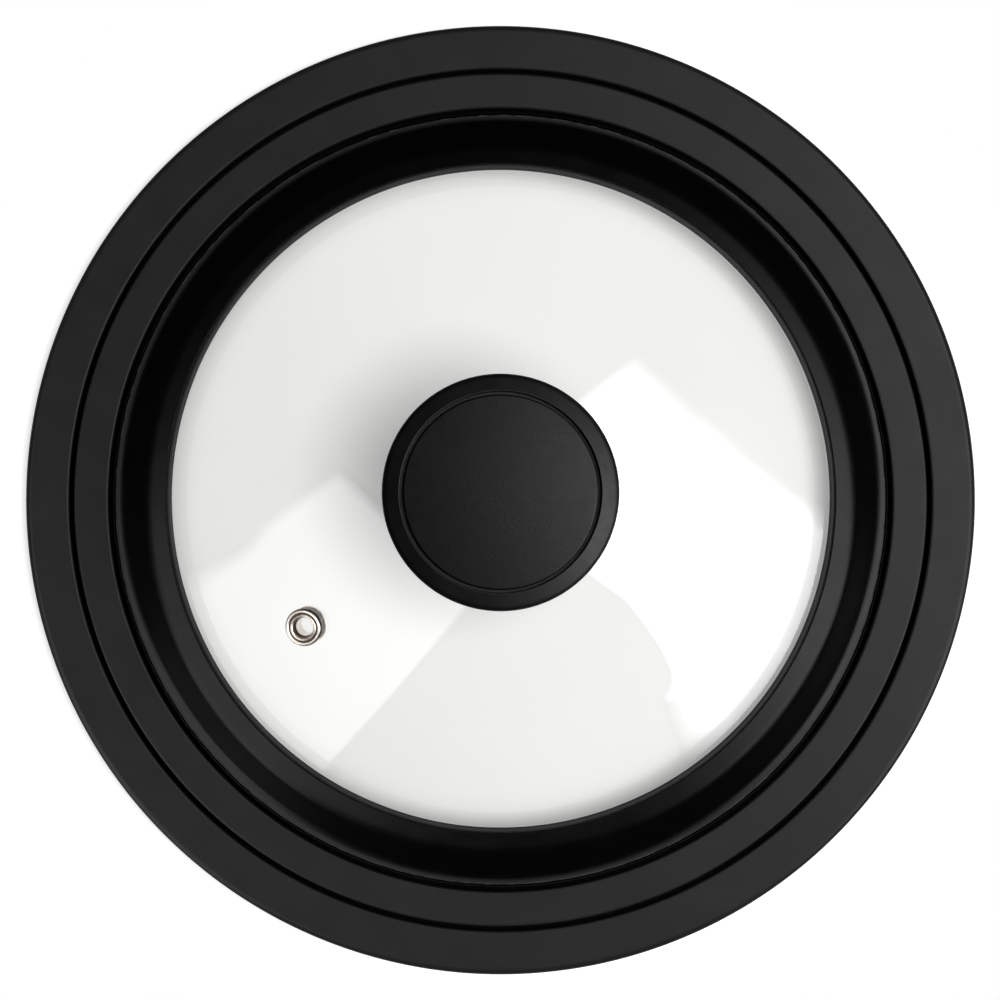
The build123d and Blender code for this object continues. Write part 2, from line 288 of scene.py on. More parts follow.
def layered(tree, share, under, over):
    """A surface that goes from one shader to another as the share goes from 0 to 1."""
    return new_node(tree, "MixShader", {0: share, 1: under, 2: over})["Shader"]


def relief(tree, height, depth_mm, strength, below=None):
    """A bump of a height from 0 to 1, over another bump if one is given."""
    inputs = {"Height": height, "Distance": depth_mm * MM, "Strength": strength}
    if below is not None:
        inputs["Normal"] = below
    return new_node(tree, "Bump", inputs)["Normal"]


def coordinate(tree, place, axis):
    """One of the three coordinates of a place."""
    return new_node(tree, "SeparateXYZ", {"Vector": place})[axis]


def axis_distance(tree, place):
    """Distance from Z."""
    flat = new_node(tree, "VectorMath", {0: place, 1: (1, 1, 0)}, operation="MULTIPLY")["Vector"]
    return new_node(tree, "VectorMath", {0: flat}, operation="LENGTH")["Value"]


def clear_glass():
    """Clear glass with a faint green body, faint smears, the long soft waves of sagging, and light let
    through for shadows. Its colour is painted grey towards its edge: painted shade where the rim takes the
    light."""
    material, tree, shader = new_material("clear_tempered_glass")
    place = object_place(tree)
    smears = spread(tree, noise(tree, place, size_mm=24, detail=3), 0, 1)
    clear = between(tree, smears, (0.985, 0.985, 0.98), (1, 1, 0.995))
    # Painted shade: the colour greys towards the edge of the glass.
    near_edge = spread(tree, axis_distance(tree, place), 0, 1, edge_shade_start * MM, edge_shade_end * MM)
    edge_shade = calculated(tree, "POWER", near_edge, edge_shade_curve)
    smears_and_painted_shade = between(tree, edge_shade, clear, edge_shade_tint)
    waves = relief(tree, noise(tree, place, size_mm=30, detail=0), depth_mm=1.0, strength=0.02)
    feed(tree, shader, {"Base Color": smears_and_painted_shade, "Roughness": 0.0, "Normal": waves})
    feed(tree, shader, {"Transmission Weight": 1.0, "IOR": 1.5})
    rays = new_node(tree, "LightPath")
    through = new_node(tree, "BsdfTransparent", {"Color": (0.95, 0.95, 0.94, 1)})["BSDF"]
    surface = shader.outputs["BSDF"]
    for ray in ("Is Diffuse Ray", "Is Shadow Ray"):
        surface = layered(tree, rays[ray], surface, through)
    body = new_node(tree, "VolumeAbsorption", {"Color": (0.85, 0.88, 0.855, 1), "Density": 25.0})["Volume"]
    feed(tree, tree.nodes["Material Output"], {"Surface": surface, "Volume": body})
    return material


glass = new_piece("glass_dome", *glass_mesh(), clear_glass())
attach(glass, "lid")
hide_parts("glass_disc")

# Steam vent
# A tubular rivet of bright nickel-toned steel through the glass: its flange and a silicone bush below,
# and a dished washer above, over which the upper end of the tube is curled to hold everything.
vent_bore_radius = 2.0
vent_flare_radius = 2.45
vent_flare_depth = 0.7
vent_tube_radius = 2.65
vent_curl_radius = 3.0
vent_curl_height = 0.85
vent_curl_round = 0.27
vent_rim_inner = 3.3
vent_rim_outer = 3.85
vent_flange_radius = 4.2
vent_rim_height = 0.8
vent_rim_round = 0.27
vent_rim_foot = 0.3
vent_flange_round = 0.15
vent_skin = 0.35
vent_liner_radius = 2.69
vent_gasket_radius = 3.9
vent_bush_radius = 3.4
vent_gasket_wall = 0.4
vent_gasket_thickness = 0.4
vent_flange_thickness = 0.45
vent_fine_round = 0.05
vent_segments = 96
wave_length = 0.314
# Painted shade and painted dark reflection: the vent's steel is painted this dark colour in the flare, in the
# gap between the crests and round the foot of the washer.
vent_painted_shade_tone = (0.06, 0.043, 0.034)
vent_shade_heights = (0.40, 0.65)
vent_shade_radii = (2.15, 2.45)
vent_bore_shade_depths = (-0.9, -0.6)
vent_gasket_top = sqrt(inner_crown_radius**2 - vent_gasket_radius**2) - crown_radius
vent_gasket_bottom = vent_gasket_top - vent_gasket_thickness
vent_flange_under = vent_gasket_bottom - vent_flange_thickness


def unit(vectors):
    """Vectors divided by their own lengths."""
    return vectors / np.linalg.norm(vectors, axis=-1, keepdims=True)


def rounded_outline(corners, closed=True, steps=6, lead=0.35):
    """Outline through corners of (radius, height, round), each an arc tangent to both of its edges.
    The arc's centre is on the corner's bisector at round / sin(half its angle). A support point stands lead
    times the round outside each end of an arc, so that flats shade flat. Open outlines keep their ends."""
    corners = np.array(corners, float)
    points = corners[:, :2]
    chosen = slice(None) if closed else slice(1, -1)
    back = unit(np.roll(points, 1, axis=0) - points)[chosen]
    ahead = unit(np.roll(points, -1, axis=0) - points)[chosen]
    corner, size = points[chosen], corners[chosen, 2:]
    half = np.arccos(np.clip((back * ahead).sum(axis=1, keepdims=True), -1, 1)) / 2
    tangent = size / np.tan(half)
    centre = corner + unit(back + ahead) * size / np.sin(half)
    first = corner + back * tangent - centre
    last = corner + ahead * tangent - centre
    start = np.arctan2(first[:, 1:], first[:, :1])
    sweep = (np.arctan2(last[:, 1:], last[:, :1]) - start + pi) % (2 * pi) - pi
    angle = start + sweep * np.linspace(0, 1, steps + 1)
    arcs = centre[:, None] + size[:, None] * np.stack((np.cos(angle), np.sin(angle)), axis=-1)
    before = corner + back * (tangent + lead * size)
    after = corner + ahead * (tangent + lead * size)
    rounded = np.concatenate((before[:, None], arcs, after[:, None]), axis=1).reshape(-1, 2)
    return rounded if closed else np.concatenate((points[:1], rounded, points[-1:]))


def turned_piece(name, outline, segments, material, closed=True, place=None):
    """An outline turned about Z into a piece, and moved by place if it has an axis of its own."""
    grid = turned_grid(outline, segments)
    points = grid.reshape(-1, 3) if place is None else place(grid.reshape(-1, 3))
    return new_piece(name, points, ring_faces(len(outline), segments, closed), material)


def rings_about(tree, place, period_mm):
    """Fine concentric marks: a wave of the distance from the pattern's Z axis, which has the wave length at
    a scale of 1."""
    inputs = {"Vector": place, "Scale": wave_length / (period_mm * MM), "Distortion": 1.5, "Detail": 2.0}
    return new_node(tree, "TexWave", inputs, wave_type="RINGS", rings_direction="Z")["Fac"]


def bright_metal(name, dark, light, low_roughness, high_roughness, ring_mm, place_of, unshaded_of=None):
    """Metal in two near tones, with turning marks round its axis and patches of a duller polish. Where
    unshaded_of is given and is 0, the colour is painted dark: painted shade."""
    material, tree, shader = new_material(name)
    place = place_of(tree)
    tone = spread(tree, noise(tree, place, size_mm=1.3, detail=3), 0, 1)
    colour = between(tree, tone, dark, light)
    # Painted shade: the colour goes to a painted dark tone where the mask is 0.
    if unshaded_of:
        colour = between(tree, unshaded_of(tree, place), vent_painted_shade_tone, colour)
    dull = spread(tree, noise(tree, place, size_mm=0.6, detail=4), low_roughness, high_roughness)
    marks = relief(tree, rings_about(tree, place, ring_mm), depth_mm=0.01, strength=0.05)
    pits = relief(tree, noise(tree, place, size_mm=0.25, detail=2), depth_mm=0.02, strength=0.03, below=marks)
    feed(tree, shader, {"Base Color": colour, "Metallic": 1.0, "Roughness": dull, "Normal": pits})
    return material


def vent_place(tree):
    """Coordinates about the vent's own axis."""
    seat, axes = vent_frame()
    turn = Matrix(axes.tolist())
    move = turn @ Vector((-seat * MM).tolist())
    return object_place(tree, turn.to_euler(), move)


def vent_unshaded(tree, place):
    """1 on the two crests above the glass and on all that lies below the flare, and 0 in the flare, in the
    gap between the crests and round the foot of the washer, where the steel's colour is painted dark: painted
    shade and painted dark reflection."""
    height = coordinate(tree, place, "Z")
    crests = spread(tree, height, 0, 1, *(level * MM for level in vent_shade_heights))
    below = spread(tree, height, 1, 0, *(level * MM for level in vent_bore_shade_depths))
    outside = spread(tree, axis_distance(tree, place), 0, 1, *(radius * MM for radius in vent_shade_radii))
    return calculated(tree, "MAXIMUM", calculated(tree, "MULTIPLY", crests, outside), below)


def soft_gasket():
    """Soft black silicone with a dusty bloom and a fine moulded grain."""
    material, tree, shader = new_material("soft_black_gasket")
    place = object_place(tree)
    bloom = spread(tree, noise(tree, place, size_mm=3, detail=4), 0, 1)
    dusty = between(tree, bloom, (0.018, 0.018, 0.019), (0.032, 0.032, 0.033))
    matt = spread(tree, noise(tree, place, size_mm=1.5, detail=3), low=0.5, high=0.65)
    grain = relief(tree, noise(tree, place, size_mm=0.2, detail=2), depth_mm=0.03, strength=0.25)
    feed(tree, shader, {"Base Color": dusty, "Roughness": matt, "Normal": grain})
    return material


vent_steel = bright_metal(
    "vent_nickel_steel", dark=(0.72, 0.65, 0.58), light=(0.84, 0.78, 0.72),
    low_roughness=0.16, high_roughness=0.24, ring_mm=0.09, place_of=vent_place, unshaded_of=vent_unshaded)
gasket_rubber = soft_gasket()

vent_bush = turned_piece("vent_bush", rounded_outline([
    (vent_liner_radius, vent_gasket_bottom, vent_fine_round),
    (vent_bush_radius, vent_gasket_bottom, vent_fine_round),
    (vent_bush_radius, vent_gasket_top, vent_fine_round),
    (vent_liner_radius + vent_gasket_wall, vent_gasket_top, vent_fine_round),
    (vent_liner_radius + vent_gasket_wall, -vent_gasket_thickness, vent_fine_round),
    (vent_liner_radius, -vent_gasket_thickness, vent_fine_round),
]), vent_segments, gasket_rubber, place=on_vent_axis)
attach(vent_bush, "lid")
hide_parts("vent_gasket")

vent_dish = turned_piece("vent_dish", rounded_outline([
    (vent_liner_radius, 0, vent_fine_round),
    (vent_flange_radius, 0, vent_fine_round),
    (vent_flange_radius, vent_rim_foot, vent_flange_round),
    (vent_rim_outer, vent_rim_height, vent_rim_round),
    (vent_rim_inner, vent_rim_height, vent_rim_round),
    (vent_rim_inner, vent_skin, vent_fine_round),
    (vent_liner_radius, vent_skin, vent_fine_round),
]), vent_segments, vent_steel, place=on_vent_axis)
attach(vent_dish, "lid")
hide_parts("vent_washer")

vent_tube = turned_piece("vent_tube", rounded_outline([
    (vent_bore_radius, vent_flange_under, vent_flange_round),
    (vent_flange_radius, vent_flange_under, vent_flange_round),
    (vent_flange_radius, vent_gasket_bottom, vent_flange_round),
    (vent_tube_radius, vent_gasket_bottom, vent_fine_round),
    (vent_tube_radius, vent_skin, vent_fine_round),
    (vent_curl_radius, vent_skin, vent_fine_round),
    (vent_curl_radius, vent_curl_height, vent_curl_round),
    (vent_flare_radius, vent_curl_height, vent_curl_round),
    (vent_bore_radius, -vent_flare_depth, vent_flange_round),
]), vent_segments, vent_steel, place=on_vent_axis)
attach(vent_tube, "lid")
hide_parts("vent_rivet")

# Knob gasket
# A pad of the same soft silicone between the knob and the glass, flat on top and hollowed to the dome,
# held by the pull of the screw.
gasket_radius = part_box("knob_gasket")[1].x / MM
gasket_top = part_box("knob_gasket")[1].z / MM
gasket_bore = 2.8
gasket_round = 0.2
gasket_segments = 128
gasket_row_count = 24
gasket_rows = np.linspace(gasket_radius, gasket_bore, gasket_row_count)
gasket_under = np.stack((gasket_rows, dome_centre + np.sqrt(crown_radius**2 - gasket_rows**2)), axis=-1)
gasket_edge = rounded_outline([
    (gasket_bore, gasket_under[-1, 1], 0), (gasket_bore, gasket_top, gasket_round),
    (gasket_radius, gasket_top, gasket_round), (gasket_radius, gasket_under[0, 1], 0),
], closed=False)
gasket_outline = np.concatenate((gasket_edge, gasket_under[1:-1]))
knob_pad = turned_piece("knob_pad", gasket_outline, gasket_segments, gasket_rubber)
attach(knob_pad, "lid")
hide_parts("knob_gasket")

# Knob insert
# A turned brass bush, threaded for the screw, with a waist that the knob's plastic flows into when it is
# moulded around it.
knob_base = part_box("knob_body")[0].z / MM
insert_radius = 4.5
insert_length = 12.0
insert_waist_radius = 3.9
insert_waist = (4.0, 8.0)
insert_waist_slope = 0.6
insert_bore = 2.55
insert_round = 0.1
insert_thread_depth = 0.35
insert_plain_end = 0.3
insert_thread_rows = 170
insert_segments = 64
thread_pitch = 0.8
thread_flat = 0.1
insert_side = [
    (insert_radius, knob_base),
    (insert_radius, knob_base + insert_waist[0] - insert_waist_slope),
    (insert_waist_radius, knob_base + insert_waist[0]),
    (insert_waist_radius, knob_base + insert_waist[1]),
    (insert_radius, knob_base + insert_waist[1] + insert_waist_slope),
    (insert_radius, knob_base + insert_length),
]


def thread_wave(grid):
    """A ridge wave from 0 to 1 with a little flat at both ends, along a right-hand helix about Z."""
    turn = np.arctan2(grid[..., 1], grid[..., 0]) / (2 * pi)
    phase = (grid[..., 2] / thread_pitch - turn) % 1
    return np.clip((1 + 2 * thread_flat) * (1 - np.abs(2 * phase - 1)) - thread_flat, 0, 1)


def insert_mesh():
    """The bush's outline turned about Z. In its bore, between two plain ends, the radius grows by the
    thread's depth times a wave of height / pitch - angle / full turn, which is a helix."""
    outside = rounded_outline([
        (insert_bore, knob_base, insert_round),
        *((*corner, insert_round) for corner in insert_side),
        (insert_bore, knob_base + insert_length, insert_round),
    ])
    bore_top = knob_base + insert_length - insert_plain_end
    height = np.linspace(bore_top, knob_base + insert_plain_end, insert_thread_rows)
    bore = np.stack((np.full_like(height, insert_bore), height), axis=-1)
    outline = np.concatenate((outside, bore))
    grid = turned_grid(outline, insert_segments)
    threaded = slice(len(outside), None)
    wave = thread_wave(grid[threaded])
    ends = np.clip(np.minimum(height - height[-1], height[0] - height) / thread_pitch, 0, 1)
    radius = insert_bore + insert_thread_depth * wave * ends[:, None]
    grid[threaded, :, :2] *= (radius / insert_bore)[..., None]
    return grid, ring_faces(len(outline), insert_segments, True)


insert_brass = bright_metal(
    "turned_brass", dark=(0.62, 0.43, 0.17), light=(0.78, 0.58, 0.28),
    low_roughness=0.22, high_roughness=0.40, ring_mm=0.15, place_of=object_place)
bush = new_piece("threaded_bush", *insert_mesh(), insert_brass)
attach(bush, "knob")
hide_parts("knob_insert")

# Knob
# A hollow mushroom of black phenolic, moulded around the brass bush, with a bevel round its top and a fine
# spark-eroded grain. The hollow is open at the top for the cap.
knob_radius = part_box("knob_body")[1].x / MM
knob_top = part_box("knob_body")[1].z / MM
knob_base_radius = 17.0
knob_base_edge = 2.0
knob_flare_top = 8.0
knob_neck_radius = 12.0
knob_neck_top = 14.0
knob_side_height = 6.6
knob_bevel_width = 3.85
knob_bevel_run = 3.7
knob_bevel_slope = tan(radians(20))
knob_bevel_fall = knob_bevel_run * knob_bevel_slope
knob_base_round = 0.9
knob_neck_round = 5.0
knob_under_round = 2.0
knob_edge_round = 1.5
knob_side_top = knob_top - knob_bevel_fall
cap_groove_radius = knob_radius - knob_bevel_width
cap_groove_depth = 2.0
cap_groove_round = 0.2
cap_pocket_radius = 20.6
cap_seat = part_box("knob_cap")[0].z / MM
well_radius = 18.1
well_edge = 20.2
well_bottom = 15.6
hollow_radius = 9.3
hollow_floor = 4.7
boss_radius = 7.2
boss_top = 15.0
knob_fine_round = 0.15
knob_segments = 256
knob_outline = rounded_outline([
    (0, knob_base + insert_length, 0),
    *((*corner, knob_fine_round) for corner in insert_side[::-1]),
    (knob_base_radius, knob_base, knob_base_round),
    (knob_base_radius, knob_base + knob_base_edge, knob_base_round),
    (knob_neck_radius, knob_base + knob_flare_top, knob_neck_round),
    (knob_neck_radius, knob_base + knob_neck_top, knob_neck_round),
    (knob_radius, knob_side_top - knob_side_height, knob_under_round),
    (knob_radius, knob_side_top, knob_edge_round),
    (cap_groove_radius, knob_top, cap_groove_round),
    (cap_groove_radius, knob_top - cap_groove_depth, knob_fine_round),
    (cap_pocket_radius, knob_top - cap_groove_depth, knob_fine_round),
    (cap_pocket_radius, cap_seat, knob_fine_round),
    (well_radius, cap_seat, knob_fine_round),
    (well_radius, knob_base + well_edge, knob_fine_round),
    (hollow_radius, knob_base + well_bottom, knob_fine_round),
    (hollow_radius, knob_base + hollow_floor, knob_fine_round),
    (boss_radius, knob_base + hollow_floor, knob_fine_round),
    (boss_radius, knob_base + boss_top, knob_fine_round),
    (0, knob_base + boss_top, 0),
], closed=False)


def moulded_black(name, dark, light, shine, low_roughness, high_roughness, grain_mm, grain_strength):
    """Matt black plastic: two near blacks in soft patches, an uneven matt and a pebbled mould grain."""
    material, tree, shader = new_material(name)
    place = object_place(tree)
    patches = spread(tree, noise(tree, place, size_mm=9, detail=4), 0, 1)
    colour = between(tree, patches, dark, light)
    matt = spread(tree, noise(tree, place, size_mm=2.2, detail=4), low_roughness, high_roughness)
    normal = None
    for size_mm, detail, depth_mm in ((grain_mm, 2, 0.05), (grain_mm / 3, 1, 0.02)):
        normal = relief(tree, noise(tree, place, size_mm, detail), depth_mm, grain_strength, normal)
    feed(tree, shader, {"Base Color": colour, "Roughness": matt, "Normal": normal})
    feed(tree, shader, {"Specular IOR Level": shine})
    return material


knob_black = moulded_black(
    "knob_pebbled_black", dark=(0.0010, 0.0010, 0.0009), light=(0.0022, 0.0022, 0.0020), shine=0.54,
    low_roughness=0.46, high_roughness=0.54, grain_mm=0.5, grain_strength=0.35)
knob = turned_piece("knob_mushroom", knob_outline, knob_segments, knob_black, closed=False)
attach(knob, "knob")
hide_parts("knob_body")

# Knob cap
# A slightly crowned disc with a downturned rim, pressed into the knob's top so that a narrow shadow groove
# is left around it.
cap_low, cap_high = [np.array(corner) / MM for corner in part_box("knob_cap")]
cap_radius = cap_high[0]
cap_top = cap_high[2]
cap_crown = 0.85
cap_edge_round = 0.35
cap_flange_radius = 20.95
cap_flange = 0.9
cap_skin = 2.0
cap_skin_under = cap_top - cap_crown - cap_skin
cap_rim_width = 4.0
cap_rim_inner = cap_radius - cap_rim_width
cap_crown_radius = (cap_flange_radius**2 + cap_crown**2) / (2 * cap_crown)
cap_row_count = 40
cap_rows = np.linspace(0, cap_flange_radius - 2 * cap_edge_round, cap_row_count)
cap_heights = cap_top - cap_crown_radius + np.sqrt(cap_crown_radius**2 - cap_rows**2)
cap_face = np.stack((cap_rows, cap_heights), axis=-1)
cap_side = rounded_outline([
    cap_face[-1].tolist() + [0],
    (cap_flange_radius, cap_top - cap_crown, cap_edge_round),
    (cap_flange_radius, cap_top - cap_crown - cap_flange, knob_fine_round),
    (cap_radius, cap_top - cap_crown - cap_flange, knob_fine_round),
    (cap_radius, cap_low[2], knob_fine_round),
    (cap_rim_inner, cap_low[2], knob_fine_round),
    (cap_rim_inner, cap_skin_under, knob_fine_round),
    (0, cap_skin_under, 0),
], closed=False)
cap_black = moulded_black(
    "cap_matt_black", dark=(0.0010, 0.0010, 0.0014), light=(0.0020, 0.0020, 0.0026), shine=0.36,
    low_roughness=0.36, high_roughness=0.42, grain_mm=0.5, grain_strength=0.35)
cap_outline = np.concatenate((cap_face[:-1], cap_side))
cap = turned_piece("knob_disc", cap_outline, knob_segments, cap_black, closed=False)
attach(cap, "knob")
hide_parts("knob_cap")

# Screw gasket and washer
# Under the glass, a silicone washer with a collar keeps the steel off the glass, and a flat stainless washer
# spreads the pull of the screw.
seal_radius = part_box("screw_gasket")[1].x / MM
seal_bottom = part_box("screw_gasket")[0].z / MM
seal_bore = 2.8
seal_collar_radius = 3.9
seal_collar_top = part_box("screw_gasket")[1].z / MM
seal_round = 0.12
seal_segments = 96
seal_row_count = 14
seal_rows = np.linspace(seal_collar_radius, seal_radius, seal_row_count)
seal_seat = np.stack((seal_rows, dome_centre + np.sqrt(inner_crown_radius**2 - seal_rows**2)), axis=-1)
seal_edge = rounded_outline([
    seal_seat[-1].tolist() + [0],
    (seal_radius, seal_bottom, seal_round),
    (seal_bore, seal_bottom, seal_round),
    (seal_bore, seal_collar_top, seal_round),
    (seal_collar_radius, seal_collar_top, seal_round),
    seal_seat[0].tolist() + [0],
], closed=False)
seal_outline = np.concatenate((seal_edge, seal_seat[1:-1]))
seal = turned_piece("screw_seal", seal_outline, seal_segments, gasket_rubber)
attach(seal, "lid")
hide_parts("screw_gasket")

washer_low, washer_high = [np.array(corner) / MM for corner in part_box("screw_washer")]
washer_round = 0.2
screw_steel = bright_metal(
    "turned_steel", dark=(0.50, 0.50, 0.50), light=(0.63, 0.62, 0.61),
    low_roughness=0.18, high_roughness=0.34, ring_mm=0.12, place_of=object_place)
washer = turned_piece("flat_washer", rounded_outline([
    (seal_bore, washer_low[2], washer_round),
    (washer_high[0], washer_low[2], washer_round),
    (washer_high[0], washer_high[2], washer_round),
    (seal_bore, washer_high[2], washer_round),
]), seal_segments, screw_steel)
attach(washer, "lid")
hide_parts("screw_washer")

# Knob screw
# A stainless pan-head machine screw, driven from below through washer, gasket and glass into the brass bush.
# It has a pressed cross recess and a rolled thread.
screw_low, screw_high = [np.array(corner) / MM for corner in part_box("knob_screw")]
screw_head_radius = screw_high[0]
screw_head_bottom = screw_low[2]
screw_seat = washer_low[2]
screw_tip = screw_high[2]
screw_radius = 2.5
screw_head_round = 2.2
screw_round_share = 0.98
screw_head_steps = 10
screw_lead = 0.02
screw_seat_round = 0.1
screw_tip_chamfer = 0.4
screw_thread_depth = 0.42
screw_thread_start = screw_seat + 2.0
cross_half_length = 2.5
cross_half_width = 0.55
cross_depth = 1.9
cross_wall = 0.12
cross_taper = 0.45
screw_face_rows = 52
screw_thread_rows = 230
screw_segments = 128


def screw_mesh():
    """The screw's outline turned about Z. Its head sinks by a cross: the depth is full where a point is
    within the half width of either arm, falls off over the wall, and lessens with the distance from the axis.
    Its shank shrinks by the thread's depth times one minus the helix wave."""
    face_rows = np.linspace(0, screw_head_radius - screw_head_round, screw_face_rows)
    face = np.stack((face_rows, np.full_like(face_rows, screw_head_bottom)), axis=-1)
    head = rounded_outline([
        face[-1].tolist() + [0],
        (screw_head_radius, screw_head_bottom, screw_round_share * screw_head_round),
        (screw_head_radius, screw_seat, screw_seat_round),
        (screw_radius, screw_seat, screw_seat_round),
        (screw_radius, screw_thread_start, 0),
    ], closed=False, steps=screw_head_steps, lead=screw_lead)
    height = np.linspace(screw_thread_start, screw_tip - screw_tip_chamfer, screw_thread_rows)[1:]
    shank = np.stack((np.full_like(height, screw_radius), height), axis=-1)
    tip = np.array(((screw_radius - screw_thread_depth, screw_tip), (0, screw_tip)))
    outline = np.concatenate((face[:-1], head, shank, tip))
    grid = turned_grid(outline, screw_segments)
    ends = grid[:len(face)]
    arms = np.sort(np.abs(ends[..., :2]), axis=-1)
    narrow = np.clip((cross_half_width - arms[..., 0]) / cross_wall + 0.5, 0, 1)
    short = np.clip((cross_half_length - arms[..., 1]) / (cross_taper * 2) + 0.5, 0, 1)
    ends[..., 2] += cross_depth * narrow * short * (1 - cross_taper * arms[..., 1] / cross_half_length)
    threaded = slice(len(face) - 1 + len(head), len(face) - 1 + len(head) + len(shank))
    wave = thread_wave(grid[threaded])
    run_in = np.clip((height - screw_thread_start) / thread_pitch, 0, 1)[:, None]
    run_out = np.clip((height[-1] - height) / thread_pitch, 0, 1)[:, None]
    depth = screw_thread_depth * (1 - wave * run_out) * run_in
    grid[threaded, :, :2] *= (1 - depth / screw_radius)[..., None]
    return grid, ring_faces(len(outline), screw_segments, False)


screw = new_piece("pan_head_screw", *screw_mesh(), screw_steel)
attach(screw, "screw")
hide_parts("knob_screw")

# Silicone rim
# One moulding of black silicone: a flat brim with two deep grooves above the ribs that centre the lid in a
# pan, and a collar that rises to grip the glass. It is stretched over the glass, so its lip is a little wavy.
brim_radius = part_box("silicone_rim")[1].x / MM
brim_bottom = 5.0
brim_top = 8.0
brim_edge_round = 1.2
groove_floor = 2.0
groove_width = 1.1
groove_inner_radii = (95.25, 86.45)
groove_edge_round = 0.45
groove_floor_round = 0.45
rib_wall = 1.45
rib_round = 0.5
collar_foot_radius = 84.3
collar_foot_round = 2.8
collar_shoulder_radius = 78.7
collar_shoulder_round = 4.0
collar_slope = tan(radians(14))
lip_radius = 73.0
lip_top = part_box("silicone_rim")[1].z / MM
slot_radius = 76.8
lower_lip_radius = 74.0
lower_lip_bottom = 8.9
lower_lip_round = 0.8
throat_radius = 76.0
throat_round = 1.0
small_rib_radius = 79.0
bead_width = 1.05
bead_fall = 1.2
bead_round = 0.5
bead_groove_width = 0.35
bead_groove_depth = 0.35
bead_fine_round = 0.08
lip_under = 0.2
slot_round = 0.1
rim_segments = 320
rim_lead = 0.2
lip_wave = 0.06
lip_wave_fade = 3.0
lip_wave_parts = ((0.5, 3, 1.1), (0.3, 7, 0.4), (0.2, 17, 0.0))
# Painted sheen: inside this distance from the axis the bead at the lip is painted paler.
bead_sheen_end = 74.15
bead_sheen_fade = 0.1
# Outside this distance from the axis the brim's top is a dark grey; inside it the collar is a deep black.
collar_black_end = 84.5
collar_black_fade = 0.8
# Painted shade: below this height, outside the collar, the colour is painted deep black, and the surface is
# rougher.
painted_shade_and_rough_below = 7.2
painted_shade_and_rough_fade = 0.35
raw_roughness = 0.5


def lip_slope(radius):
    """Height of the collar's sloping top at a distance from the axis."""
    return lip_top - (radius - lip_radius) * collar_slope


def rim_mesh():
    """The rim's section turned about Z, with the points near the lip moved in and out by a sum of sines of
    the angle, each with its share, count and shift. The sum fades with the distance from the lip."""
    bead_edge = lip_radius + bead_width
    groove_edge = bead_edge + bead_groove_width
    bead_top = lip_top - bead_fall
    groove_low = bead_top - bead_groove_depth
    grooves = [
        corner
        for inner in groove_inner_radii
        for corner in (
            (inner + groove_width, brim_top, groove_edge_round),
            (inner + groove_width, groove_floor, groove_floor_round),
            (inner, groove_floor, groove_floor_round),
            (inner, brim_top, groove_edge_round),
        )
    ]
    ribs = [
        corner
        for inner in groove_inner_radii[::-1]
        for corner in (
            (inner - rib_wall, brim_bottom, rib_round),
            (inner - rib_wall, 0, rib_round),
            (inner + groove_width + rib_wall, 0, rib_round),
            (inner + groove_width + rib_wall, brim_bottom, rib_round),
        )
    ]
    outline = rounded_outline([
        (brim_radius, brim_bottom, brim_edge_round),
        (brim_radius, brim_top, brim_edge_round),
        *grooves,
        (collar_foot_radius, brim_top, collar_foot_round),
        (collar_shoulder_radius, lip_slope(collar_shoulder_radius), collar_shoulder_round),
        (groove_edge, lip_slope(groove_edge), bead_fine_round),
        (groove_edge - bead_fine_round, groove_low, bead_fine_round),
        (bead_edge, groove_low, bead_fine_round),
        (bead_edge - bead_fine_round, bead_top, bead_fine_round),
        (lip_radius, bead_top, bead_round),
        (lip_radius, flange_top + lip_under, slot_round),
        (slot_radius, flange_top, slot_round),
        (slot_radius, flange_bottom, slot_round),
        (lower_lip_radius, flange_bottom, slot_round),
        (lower_lip_radius, lower_lip_bottom, lower_lip_round),
        (throat_radius, lower_lip_bottom, throat_round),
        (throat_radius, 0, rib_round),
        (small_rib_radius, 0, rib_round),
        (small_rib_radius, brim_bottom, rib_round),
        *ribs,
    ], lead=rim_lead)
    grid = turned_grid(outline, rim_segments)
    angle = np.arange(rim_segments) * 2 * pi / rim_segments
    wave = lip_wave * sum(share * np.sin(count * angle + shift) for share, count, shift in lip_wave_parts)
    above = (outline[:, 1] > flange_top + slot_round) & (outline[:, 0] < slot_radius)
    fade = above * np.clip(1 - (outline[:, 0] - lip_radius) / lip_wave_fade, 0, 1)
    grid[..., :2] *= (1 + fade[:, None] * wave / outline[:, :1])[..., None]
    return grid, ring_faces(len(outline), rim_segments, True)


